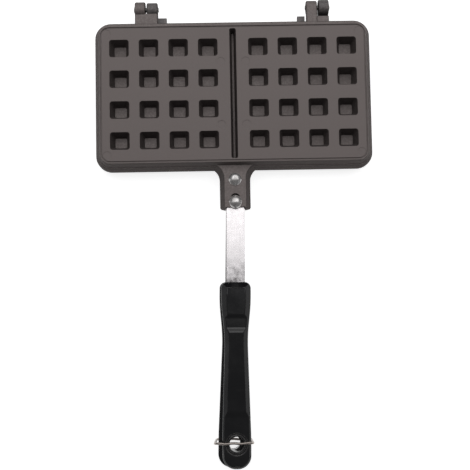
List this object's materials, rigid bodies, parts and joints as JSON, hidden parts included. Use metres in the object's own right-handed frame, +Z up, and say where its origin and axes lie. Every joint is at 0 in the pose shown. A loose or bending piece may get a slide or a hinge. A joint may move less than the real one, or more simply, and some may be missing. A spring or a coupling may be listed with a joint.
{
  "type": "stovetop waffle iron",
  "caption": "Hinged double waffle iron for the hob: cast plates with stud grids, riveted strap handles, moulded grips and a wire locking ring.",
  "frame": {"origin": "middle of the lower plate's outer face, which rests on the hob", "axes": "+Z up and square to the plates, +Y towards the hinges, handles along -Y, +X to the right seen from above with the handles towards the viewer"},
  "size_m": [0.236, 0.3982, 0.034],
  "materials": {
    "coated_casting": "cast aluminium with a satin grey-brown non-stick coating",
    "strap_steel": "bright rolled strip, lightly brushed",
    "rivet_steel": "polished domed heads",
    "grip_resin": "black moulded resin, semi-gloss",
    "screw_steel": "zinc plated",
    "pin_steel": "dull steel",
    "ring_steel": "bent steel wire, plated"
  },
  "bodies": {
    "base": {"lower_plate": "coated_casting", "lower_handle_strap": "strap_steel", "lower_rivets": "rivet_steel", "lower_grip": "grip_resin", "lower_grip_screw": "screw_steel", "left_hinge_pin": "pin_steel", "right_hinge_pin": "pin_steel"},
    "lid": {"upper_plate": "coated_casting", "upper_handle_strap": "strap_steel", "upper_rivets": "rivet_steel", "upper_grip": "grip_resin", "upper_grip_screw": "screw_steel"},
    "ring": {"locking_ring": "ring_steel"}
  },
  "joints": [
    {"name": "lid_hinge", "type": "hinge", "parent": "base", "child": "lid", "pos_m": [0, 0.0774, 0.017], "axis": [-1, 0, 0], "range_deg": [0, 180]},
    {"name": "ring_slide", "type": "slide", "parent": "base", "child": "ring", "axis": [0, -1, 0], "range_m": [-0.019, 0.028]}
  ]
}
